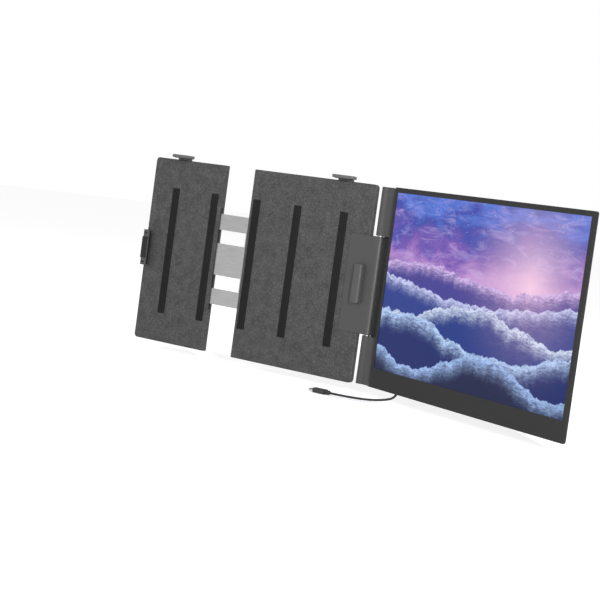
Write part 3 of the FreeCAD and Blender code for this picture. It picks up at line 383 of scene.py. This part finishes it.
def skyColour(tree, up, flat):
    height = sums(tree, "MULTIPLY_ADD", up, picture["skyRise"], picture["skyStart"])
    clouds = stretched(tree, flat, picture["clouds"])
    height = sums(tree, "MULTIPLY_ADD", clouds, picture["cloudShare"], height)
    colour = ramp(tree, height, picture["sky"])
    wisps = sums(tree, "SUBTRACT", stretched(tree, flat, picture["wisps"]), 0.5)
    wisps = sums(tree, "MULTIPLY", wisps, picture["wispGain"], clamp=True)
    colour = mixed(tree, wisps, colour, picture["wispColour"])
    stars = picture["stars"]
    spark = sums(tree, "LESS_THAN", cells(tree, flat, stars["scale"]), stars["size"])
    return mixed(tree, sums(tree, "MULTIPLY", spark, up), colour, stars["colour"])


def lightGlow(tree, across, up):
    light = picture["light"]
    aside = sums(tree, "SUBTRACT", across, light["x"])
    above = sums(tree, "SUBTRACT", up, light["z"])
    far = sums(tree, "SQRT", sums(tree, "MULTIPLY_ADD", aside, aside,
                                  sums(tree, "MULTIPLY", above, above)))
    glow = sums(tree, "SUBTRACT", 1.0, sums(tree, "DIVIDE", far, light["reach"]), clamp=True)
    return sums(tree, "POWER", glow, light["falloff"])


def swellOver(tree, colour, swell, seed, across, up, glow):
    # one swell with a ruffled, lit crest and fine streaks, laid over what is behind it
    foam = picture["foam"]
    ruffles = stretched(tree, seed, picture["ruffles"])
    wave = sums(tree, "SINE", sums(tree, "MULTIPLY_ADD", across, swell["turns"], swell["shift"]))
    middle = swell["base"] - picture["ruffleHeight"] / 2
    crest = sums(tree, "MULTIPLY_ADD", wave, swell["swing"], middle)
    crest = sums(tree, "MULTIPLY_ADD", ruffles, picture["ruffleHeight"], crest)
    below = sums(tree, "SUBTRACT", crest, up)
    mask = sums(tree, "MULTIPLY", below, picture["crestSharpness"], clamp=True)
    streaks = stretched(tree, seed, picture["streaks"])
    lit = sums(tree, "SUBTRACT", 1.0, sums(tree, "DIVIDE", below, swell["fade"]), clamp=True)
    lit = sums(tree, "MULTIPLY_ADD", lit, foam["gain"], foam["base"])
    lit = sums(tree, "SUBTRACT", sums(tree, "MULTIPLY", lit, streaks), foam["base"])
    lit = sums(tree, "MULTIPLY", lit, foam["contrast"], clamp=True)
    lit = sums(tree, "POWER", lit, foam["power"])
    water = mixed(tree, lit, swell["deep"], swell["crest"])
    shine = sums(tree, "MULTIPLY", glow, sums(tree, "MULTIPLY", streaks, picture["shine"]))
    water = mixed(tree, shine, water, picture["light"]["colour"])
    return mixed(tree, mask, colour, water)


def screenPicture(name):
    material, tree, shader = newMaterial(name)
    across, up, flat = screenPlace(tree)
    glow = lightGlow(tree, across, up)
    colour = mixed(tree, glow, skyColour(tree, up, flat), picture["light"]["colour"])
    for number, swell in enumerate(picture["swells"]):
        seed = vectors(tree, "ADD", flat, tuple(number * part for part in picture["nextSwell"]))
        colour = swellOver(tree, colour, swell, seed, across, up, glow)
    shader.inputs["Base Color"].default_value = (*picture["glass"], 1)
    feed(tree, shader.inputs["Emission Color"], colour)
    shader.inputs["Emission Strength"].default_value = picture["glow"]
    shader.inputs["Roughness"].default_value = picture["roughness"]
    shader.inputs["Specular IOR Level"].default_value = picture["gloss"]
    return material


dress("display_panel", screenPicture("picture"))
print("screen picture done")


# Mesh helpers
def newTube(name, radius, sides, finish):
    # an empty round tube, its splines come after
    curve = bpy.data.curves.new(name, "CURVE")
    curve.dimensions = "3D"
    curve.bevel_depth = radius * mm
    curve.bevel_resolution = sides
    curve.materials.append(finishes[finish])
    tube = bpy.data.objects.new(name, curve)
    scene.collection.objects.link(tube)
    return tube


def finishPiece(name, mesh, finish, body, place=None):
    piece = bpy.data.objects.new(name, mesh)
    scene.collection.objects.link(piece)
    for face in mesh.polygons:
        face.use_smooth = True
    mesh.set_sharp_from_angle(angle=math.radians(35))
    mesh.materials.append(finishes[finish])
    if place is not None:
        piece.matrix_world = place
    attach(piece, body)
    return piece


def toMesh(name, shape):
    mesh = bpy.data.meshes.new(name)
    shape.to_mesh(mesh)
    shape.free()
    return mesh


def softBoxes(name, boxes, radius, segments=2):
    # boxes are pairs of corners, all edges rounded
    shape = bmesh.new()
    for low, high in boxes:
        made = bmesh.ops.create_cube(shape, size=1.0)
        for vert in made["verts"]:
            for axis in range(3):
                share = vert.co[axis] + 0.5
                vert.co[axis] = (low[axis] + share * (high[axis] - low[axis])) * mm
    bmesh.ops.bevel(shape, geom=shape.edges[:], offset=radius * mm, segments=segments,
                    affect="EDGES", profile=0.5)
    return toMesh(name, shape)


def lathed(name, profiles, segments=32):
    # profiles are (base matrix, [(radius, height), ...]) turned about the local Z axis
    shape = bmesh.new()
    for base, profile in profiles:
        rings = []
        for radius, height in profile:
            ring = []
            for step in range(segments if radius > 0 else 1):
                angle = 2 * math.pi * step / segments
                spot = Vector((radius * math.cos(angle), radius * math.sin(angle), height)) * mm
                ring.append(shape.verts.new(base @ spot))
            rings.append(ring)
        for lower, upper in zip(rings, rings[1:]):
            for step in range(segments):
                after = (step + 1) % segments
                corners = [lower[step % len(lower)], lower[after % len(lower)],
                           upper[after % len(upper)], upper[step % len(upper)]]
                unique = list(dict.fromkeys(corners))
                if len(unique) > 2:
                    shape.faces.new(unique)
    bmesh.ops.recalc_face_normals(shape, faces=shape.faces[:])
    return toMesh(name, shape)


def extruded(name, loops, low, high):
    # flat loops, the first is the outside and the others are holes
    shape = bmesh.new()
    edges = []
    for loop in loops:
        verts = [shape.verts.new((x * mm, y * mm, low * mm)) for x, y in loop]
        edges += [shape.edges.new(pair) for pair in zip(verts, verts[1:] + verts[:1])]
    bmesh.ops.triangle_fill(shape, edges=edges, use_beauty=True)
    grown = bmesh.ops.extrude_face_region(shape, geom=shape.faces[:])
    moved = [part for part in grown["geom"] if isinstance(part, bmesh.types.BMVert)]
    bmesh.ops.translate(shape, verts=moved, vec=(0, 0, (high - low) * mm))
    bmesh.ops.recalc_face_normals(shape, faces=shape.faces[:])
    return toMesh(name, shape)


def arc(centre, radius, start, end, steps):
    out = []
    for step in range(steps + 1):
        angle = math.radians(start + (end - start) * step / steps)
        out.append((centre[0] + radius * math.cos(angle), centre[1] + radius * math.sin(angle)))
    return out


def at(x, y, z, turn=None):
    base = Matrix.Translation((x * mm, y * mm, z * mm))
    return base @ turn if turn else base


toBack = Matrix.Rotation(math.radians(-90), 4, "X")
toLeft = Matrix.Rotation(math.radians(-90), 4, "Y")

# Lead from the monitor's plug to the laptop's side
lead = {
    "route": [(269.154, -13.052, -101.4), (269.154, -13.052, -125.5), (258.379, -34.332, -132.0),
              (236.829, -66.252, -131.7), (204.504, -66.252, -131.7)],
    "thick": 2.8,
    "length": 113.5,
    "stepsAlong": 24,
    "sides": 6,
    "relief": 6.0,
    "ribs": 4,
    "ribRadius": 2.7,
    "ribCore": 2.3,
    "ribGap": 0.6,
    "ribLip": 0.2,
}
leadTube = newTube("leadTube", lead["thick"] / 2, lead["sides"], "jacket")
leadTube.data.use_fill_caps = True
spline = leadTube.data.splines.new("NURBS")
spline.points.add(len(lead["route"]) - 1)
for point, place in zip(spline.points, lead["route"]):
    point.co = (place[0] * mm, place[1] * mm, place[2] * mm, 1)
spline.order_u = 3
spline.use_endpoint_u = True
spline.resolution_u = lead["stepsAlong"]
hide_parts("lead")
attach(leadTube, "monitor")


def reliefRibs(start):
    # rings along a strain relief, from the plug outwards
    step = lead["relief"] / lead["ribs"]
    out = []
    for number in range(lead["ribs"]):
        foot = number * step + lead["ribLip"]
        top = foot + step - lead["ribGap"]
        out += [(lead["ribCore"], foot), (lead["ribRadius"], foot + lead["ribLip"]),
                (lead["ribRadius"], top), (lead["ribCore"], top + lead["ribLip"])]
    return [(start, out)]


exitPlace, endPlace = lead["route"][0], lead["route"][-1]
for name, start in (("monitorPlugRibs", at(*exitPlace)),
                    ("laptopPlugRibs", at(*endPlace, turn=toLeft))):
    finishPiece(name, lathed(name, reliefRibs(start)), "plug", "monitor")
print("lead laid")

# Ribbed silicone strips that the lid rests on
pads = {"right": [0.0, 67.5, 141.0], "left": [-72.0, -141.0], "length": 170.0, "half": 6.0,
        "front": 0.45, "back": 1.0, "ribHalf": 1.3, "ribFront": 0.02, "ribBack": 0.8,
        "ribInset": 1.5, "pitch": 3.91, "edge": 0.2}
reach = pads["length"] / 2
ribReach = reach - pads["ribInset"]
for side in ("right", "left"):
    boxes = []
    for centre in pads[side]:
        boxes.append(((centre - pads["half"], pads["front"], -reach),
                      (centre + pads["half"], pads["back"], reach)))
        for number in (-1, 0, 1):
            middle = centre + number * pads["pitch"]
            boxes.append(((middle - pads["ribHalf"], pads["ribFront"], -ribReach),
                          (middle + pads["ribHalf"], pads["ribBack"], ribReach)))
    name = side + "PadStrips"
    strips = finishPiece(name, softBoxes(name, boxes, pads["edge"]), "rubber", side + "_half")
    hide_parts(side + "_lid_pads")

# Cover screws with sunk heads
screws = {
    "right": [(x, z) for x in (-4.0, 111.0, 178.5) for z in (-115.8, 115.8)],
    "left": [(x, z) for x in (-66.0, -178.5) for z in (-115.8, 115.8)],
    "head": [(0.0, 5.2), (1.0, 5.2), (1.0, 7.6), (1.3, 7.7), (1.3, 8.7), (1.2, 8.85),
             (0.75, 8.85), (0.7, 8.2), (0.0, 8.0)],
    "sides": 18,
}
for side in ("right", "left"):
    profiles = [(at(x, 0, z, turn=toBack), screws["head"]) for x, z in screws[side]]
    name = side + "CoverScrews"
    heads = finishPiece(name, lathed(name, profiles, screws["sides"]), "darkSteel",
                        side + "_half")
    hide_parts(side + "_bracket_screws")
print("pads and screws done")

# Tension springs as real coils
spring = {"start": -176.1, "length": 82.0, "radius": 1.15, "wire": 0.25, "turns": 56,
          "pointsPerTurn": 10, "y": 4.3, "z": 64.0}
springCoils = newTube("springCoils", spring["wire"], 1, "springSteel")
count = spring["turns"] * spring["pointsPerTurn"]
for end in (-1, 1):
    coil = springCoils.data.splines.new("POLY")
    coil.points.add(count)
    for step, point in enumerate(coil.points):
        angle = 2 * math.pi * step / spring["pointsPerTurn"]
        point.co = ((spring["start"] + step / count * spring["length"]) * mm,
                    (spring["y"] + spring["radius"] * math.cos(angle)) * mm,
                    (end * spring["z"] + spring["radius"] * math.sin(angle)) * mm, 1)
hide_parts("clamp_springs")
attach(springCoils, "left_half")

# Black pad in the middle of the left clamp, and black bars above and below it that are painted
# shadow in the notches at the clamp's ends
insertAndShadow = {"left": -184.0, "right": -173.9, "front": -7.9, "back": -6.9, "half": 14.5,
          "stops": (-20.0, 20.0), "shadowBarHalf": 1.2, "shadowBarInset": 2.0, "edge": 0.3}
boxes = [((insertAndShadow["left"], insertAndShadow["front"], -insertAndShadow["half"]),
          (insertAndShadow["right"], insertAndShadow["back"], insertAndShadow["half"]))]
# heights of the black bars of painted shadow
for z in insertAndShadow["stops"]:
    boxes.append(((insertAndShadow["left"] + insertAndShadow["shadowBarInset"], insertAndShadow["front"], z - insertAndShadow["shadowBarHalf"]),
                  (insertAndShadow["right"] - insertAndShadow["shadowBarInset"], insertAndShadow["back"], z + insertAndShadow["shadowBarHalf"])))
finishPiece("leftClampInsertAndShadow", softBoxes("leftClampInsertAndShadow", boxes, insertAndShadow["edge"]), "black",
            "left_half")

# Rubber foot and grip lines on the kickstand
stand = {"centre": 85.0, "foot": -100.0, "sunk": 0.5, "proud": 0.25, "back": 8.8,
         "strip": {"half": 34.0, "foot": 2.0, "top": 5.0},
         "grip": {"half": 9.0, "foot": 9.0, "pitch": 2.4, "high": 1.0, "sunk": 0.3, "proud": 0.2,
                  "count": 4},
         "edge": 0.2}
strip, grip = stand["strip"], stand["grip"]
boxes = [((stand["centre"] - strip["half"], stand["back"] - stand["sunk"],
           stand["foot"] + strip["foot"]),
          (stand["centre"] + strip["half"], stand["back"] + stand["proud"],
           stand["foot"] + strip["top"]))]
for number in range(grip["count"]):
    z = stand["foot"] + grip["foot"] + number * grip["pitch"]
    boxes.append(((stand["centre"] - grip["half"], stand["back"] - grip["sunk"], z),
                  (stand["centre"] + grip["half"], stand["back"] + grip["proud"],
                   z + grip["high"])))
finishPiece("standFoot", softBoxes("standFoot", boxes, stand["edge"]), "rubber", "stand")
print("springs, clamp insert and stand foot done")

# Dark seam round the monitor between the bezel and the back
seam = {"y": 1.6, "radius": 0.18,
        "corners": [("left", "foot"), ("right", "foot"), ("right", "top"), ("left", "top")]}
monitorSeam = newTube("monitorSeam", seam["radius"], 1, "black")
loop = monitorSeam.data.splines.new("POLY")
loop.points.add(len(seam["corners"]) - 1)
for point, (side, level) in zip(loop.points, seam["corners"]):
    point.co = (monitor[side] * mm, seam["y"] * mm, monitor[level] * mm, 1)
loop.use_cyclic_u = True
monitorSeam.matrix_world = monitorFrame
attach(monitorSeam, "monitor")

# Speaker slots, then air slots, in the raised housing at the monitor's back
slots = {
    "back": 15.5, "sunk": 0.4, "proud": 0.06, "edge": 0.04,
    "rows": [{"start": 213.0, "count": 7, "pitch": 1.9, "wide": 0.9, "foot": -44.0, "top": -8.0},
             {"start": 82.0, "count": 14, "pitch": 7.5, "wide": 4.5, "foot": 4.0, "top": 5.4}],
}
boxes = []
for row in slots["rows"]:
    for number in range(row["count"]):
        x = row["start"] + number * row["pitch"]
        boxes.append(((x, slots["back"] - slots["sunk"], row["foot"]),
                      (x + row["wide"], slots["back"] + slots["proud"], row["top"])))
finishPiece("airSlots", softBoxes("airSlots", boxes, slots["edge"], 1), "black", "monitor",
            monitorFrame)

# Tongues with contacts in the two free sockets
sockets = {
    "places": [(93.6, 3.3), (116.6, 4.7)],  # middle and half width
    "y": 11.6, "tongueHalf": 0.35, "mouth": -78.2, "end": -73.4, "edge": 0.1,
    "contacts": {"count": 6, "start": 0.7, "margin": 1.8, "wide": 0.4, "front": 0.3,
                 "back": 0.42, "mouth": -77.7, "end": -74.0, "edge": 0.04},
}
pins = sockets["contacts"]
tongueBoxes, contactBoxes = [], []
for x, half in sockets["places"]:
    tongueBoxes.append(((x - half, sockets["y"] - sockets["tongueHalf"], sockets["mouth"]),
                        (x + half, sockets["y"] + sockets["tongueHalf"], sockets["end"])))
    pitch = (2 * half - pins["margin"]) / (pins["count"] - 1)
    for number in range(pins["count"]):
        spot = x - half + pins["start"] + number * pitch
        contactBoxes.append(((spot, sockets["y"] + pins["front"], pins["mouth"]),
                             (spot + pins["wide"], sockets["y"] + pins["back"], pins["end"])))
finishPiece("socketTongues", softBoxes("socketTongues", tongueBoxes, sockets["edge"]), "black",
            "monitor", monitorFrame)
finishPiece("socketContacts", softBoxes("socketContacts", contactBoxes, pins["edge"], 1),
            "contact", "monitor", monitorFrame)

# Caps with a dished middle for the three buttons
caps = {
    "keys": {"power": 150.0, "minus": 162.0, "plus": 174.0}, "y": 11.6, "foot": -80.0,
    "profile": [(0.0, 0.35), (0.9, 0.3), (1.3, 0.05), (1.6, 0.0), (1.85, 0.25), (1.9, 0.6),
                (1.9, 2.6), (2.35, 2.65), (2.35, 3.3), (1.9, 3.4), (1.5, 3.9), (0.0, 3.95)],
}
for key, x in caps["keys"].items():
    name = key + "Cap"
    mesh = lathed(name, [(at(x, caps["y"], caps["foot"]), caps["profile"])])
    cap = finishPiece(name, mesh, "button", key + "_key", monitorFrame)
    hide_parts(key + "_button")
print("monitor's back done")

# Outer knuckles: a full round nose, then a shallow dip to the bezel
knuckles = {
    "nose": {"radius": 5.75, "start": 90, "end": 305, "steps": 24},
    "front": [(4.4, 0.75), (5.6, 1.7), (7, 2.3), (9, 2.65), (13, 2.9), (17, 2.7), (21, 1.7),
              (24.5, 0.4)],
    "spans": {"top": (62.2, 122.5), "bottom": (-121.9, -62.2)},
    "bore": {"radius": 2.55, "start": 0, "end": 345, "steps": 23},
}
outside = arc(axisSpot, **knuckles["nose"]) + knuckles["front"]
outside += [(monitor["left"], monitor["depth"])]
bore = arc(axisSpot, **knuckles["bore"])
for end, (low, high) in knuckles["spans"].items():
    name = end + "KnuckleShell"
    shell = finishPiece(name, extruded(name, [outside, bore], low, high), "knuckle", "monitor",
                        monitorFrame)
    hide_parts(end + "_knuckle")

# Dark filler in the hollow between the middle knuckle and the screen; its dark grey is painted
# shade of the hollow
hollowShade = {
    "round": {"radius": 5.3, "start": 22, "end": 55.5, "steps": 8},
    "rest": [(3.9, 10.3), (12.25, 9.95), (22.6, 1.75), (21.4, 2.0), (15, 7.2), (8, 8.0)],
    "half": 62.3,
}
outline = arc(axisSpot, **hollowShade["round"]) + hollowShade["rest"]
finishPiece("hingeHollowShade", extruded("hingeHollowShade", [outline], -hollowShade["half"], hollowShade["half"]),
            "spine", "monitor", monitorFrame)

# Bright rings where the middle knuckle meets its neighbours
rings = {"radius": 4.0, "bore": 2.6, "half": 0.45, "gap": 61.6, "sides": 40}
profile = [(rings["bore"], -rings["half"]), (rings["radius"], -rings["half"]),
           (rings["radius"], rings["half"]), (rings["bore"], rings["half"]),
           (rings["bore"], -rings["half"])]
profiles = [(at(hinge["x"], hinge["y"], end * rings["gap"]), profile) for end in (-1, 1)]
washers = finishPiece("hingeRings", lathed("hingeRings", profiles, rings["sides"]), "steel",
                      "right_half")
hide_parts("friction_washers")

# Hooks: a thick rounded shelf on a flat leg
hooks = {
    "centre": 135.0,
    "shelf": {"half": 15.8, "front": -6.2, "back": 4.8, "foot": 126.3, "top": 130.5, "edge": 1.3},
    "leg": {"half": 11.9, "front": 2.95, "back": 4.85, "foot": 74.7, "top": 127.8, "edge": 0.4},
}
for side, sign in (("right", 1), ("left", -1)):
    middle = sign * hooks["centre"]
    whole = bmesh.new()
    for part, segments in (("shelf", 4), ("leg", 2)):
        size = hooks[part]
        box = ((middle - size["half"], size["front"], size["foot"]),
               (middle + size["half"], size["back"], size["top"]))
        mesh = softBoxes(side + part, [box], size["edge"], segments)
        whole.from_mesh(mesh)
        bpy.data.meshes.remove(mesh)
    name = side + "Hook"
    hook = finishPiece(name, toMesh(name, whole), "hook", side + "_hook")
    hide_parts(side + "_top_hook")
print("hinge and hooks done")

# Floor and light. What the camera and reflections see of the studio is white
studio = {"floor": 0.97, "floorWhite": 0.36, "floorGap": 0.0005, "floorBox": (-8, -8, 8, 14),
          "light": 0.62, "white": 1.0, "aim": (0.15, 0, 0)}
lamps = {
    "key": {"place": (2.05, -1.6, 0.5), "power": 70, "width": 0.3, "height": 1.5},
    "front": {"place": (0.0, -2.4, 0.6), "power": 9, "width": 0.8, "height": 0.8},
    "left": {"place": (-1.3, -1.3, 1.2), "power": 3, "width": 0.9, "height": 0.9},
    "back": {"place": (0.2, 1.9, 1.3), "power": 10, "width": 1.2, "height": 1.2},
}


def seenDirectly(tree):
    path = tree.nodes.new("ShaderNodeLightPath")
    seen = sums(tree, "MAXIMUM", path.outputs["Is Camera Ray"], path.outputs["Is Glossy Ray"])
    return sums(tree, "MAXIMUM", seen, path.outputs["Is Transmission Ray"])


left, front, right, back = studio["floorBox"]
level = cadBox[0][2] - studio["floorGap"]
floorMesh = bpy.data.meshes.new("floor")
floorMesh.from_pydata([(left, front, level), (right, front, level), (right, back, level),
                       (left, back, level)], [], [(0, 1, 2, 3)])
floor = bpy.data.objects.new("floor", floorMesh)
scene.collection.objects.link(floor)
floorMaterial, floorTree, floorShader = newMaterial("floor")
floorShader.inputs["Base Color"].default_value = (*[studio["floor"]] * 3, 1)
floorShader.inputs["Roughness"].default_value = 1.0
floorShader.inputs["Specular IOR Level"].default_value = 0.0
floorShader.inputs["Emission Color"].default_value = (1, 1, 1, 1)
feed(floorTree, floorShader.inputs["Emission Strength"],
     sums(floorTree, "MULTIPLY", seenDirectly(floorTree), studio["floorWhite"]))
floorMesh.materials.append(floorMaterial)

world = bpy.data.worlds.new("studio")
scene.world = world
world.use_nodes = True
sky = world.node_tree
lit = sky.nodes["Background"]
plain = sky.nodes.new("ShaderNodeBackground")
for shader, strength in ((lit, studio["light"]), (plain, studio["white"])):
    shader.inputs["Color"].default_value = (1, 1, 1, 1)
    shader.inputs["Strength"].default_value = strength
both = sky.nodes.new("ShaderNodeMixShader")
sky.links.new(seenDirectly(sky), both.inputs[0])
sky.links.new(lit.outputs[0], both.inputs[1])
sky.links.new(plain.outputs[0], both.inputs[2])
sky.links.new(both.outputs[0], sky.nodes["World Output"].inputs["Surface"])

for name, lamp in lamps.items():
    data = bpy.data.lights.new(name, "AREA")
    data.energy = lamp["power"]
    data.shape = "RECTANGLE"
    data.size = lamp["width"]
    data.size_y = lamp["height"]
    source = bpy.data.objects.new(name, data)
    source.location = lamp["place"]
    aim = Vector(studio["aim"]) - Vector(lamp["place"])
    source.rotation_euler = aim.to_track_quat("-Z", "Y").to_euler()
    scene.collection.objects.link(source)
scene.view_settings.view_transform = "Standard"
print("floor and light done")
